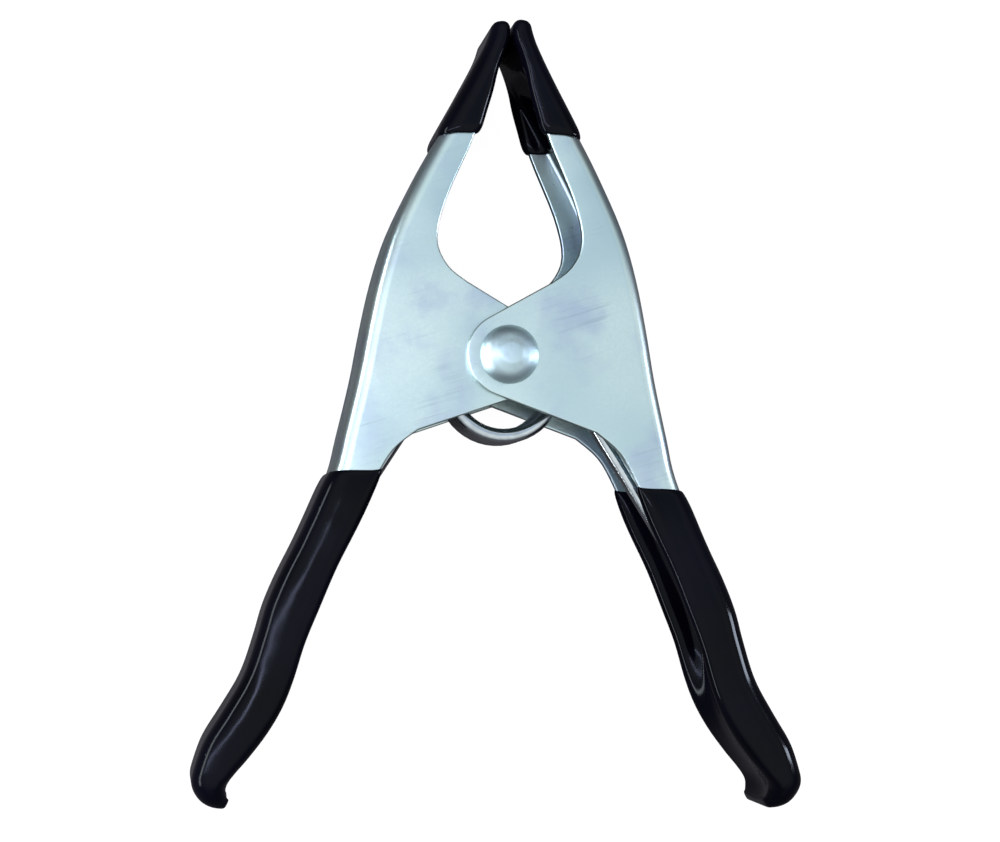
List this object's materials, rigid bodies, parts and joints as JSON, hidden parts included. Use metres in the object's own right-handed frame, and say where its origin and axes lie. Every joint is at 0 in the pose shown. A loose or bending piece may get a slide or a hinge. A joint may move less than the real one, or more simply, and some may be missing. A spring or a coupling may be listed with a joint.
{
  "type": "spring clamp",
  "caption": "Hand spring clamp: crossed steel channel arms on a rivet, closed by a torsion spring, with dipped vinyl handles and jaw tips.",
  "frame": {"origin": "middle of the underside of the clamp's box, with the clamp lying on its formed rivet head", "axes": "+Z along the rivet towards the domed head, +Y towards the jaws, +X to the right arm"},
  "size_m": [0.081, 0.1046, 0.0207],
  "materials": {
    "plated_steel": "bright zinc plate on rolled sheet, satin with a faint blue cast",
    "rivet_steel": "smooth plated head, brighter than the sheet",
    "spring_wire": "polished round spring wire",
    "black_vinyl": "glossy dipped vinyl with soft rounded edges"
  },
  "bodies": {
    "pivot": {"pivot_rivet": "rivet_steel", "torsion_spring": "spring_wire"},
    "left_side": {"left_arm": "plated_steel", "left_grip": "black_vinyl", "left_jaw_tip": "black_vinyl"},
    "right_side": {"right_arm": "plated_steel", "right_grip": "black_vinyl", "right_jaw_tip": "black_vinyl"}
  },
  "joints": [
    {"name": "left_arm_hinge", "type": "hinge", "parent": "pivot", "child": "left_side", "pos_m": [0, 0.00741, 0.00992], "axis": [0, 0, 1], "range_deg": [0, 17], "stiffness_Nm_per_rad": 0.6, "springref_deg": -9.74, "deforming": ["torsion_spring"]},
    {"name": "right_arm_hinge", "type": "hinge", "parent": "pivot", "child": "right_side", "pos_m": [0, 0.00741, 0.00992], "axis": [0, 0, 1], "range_deg": [-17, 0], "stiffness_Nm_per_rad": 0.6, "springref_deg": 9.74, "deforming": ["torsion_spring"]}
  ],
  "couplings": [
    {"joint": "right_arm_hinge", "follows": "left_arm_hinge", "ratio": -1}
  ]
}
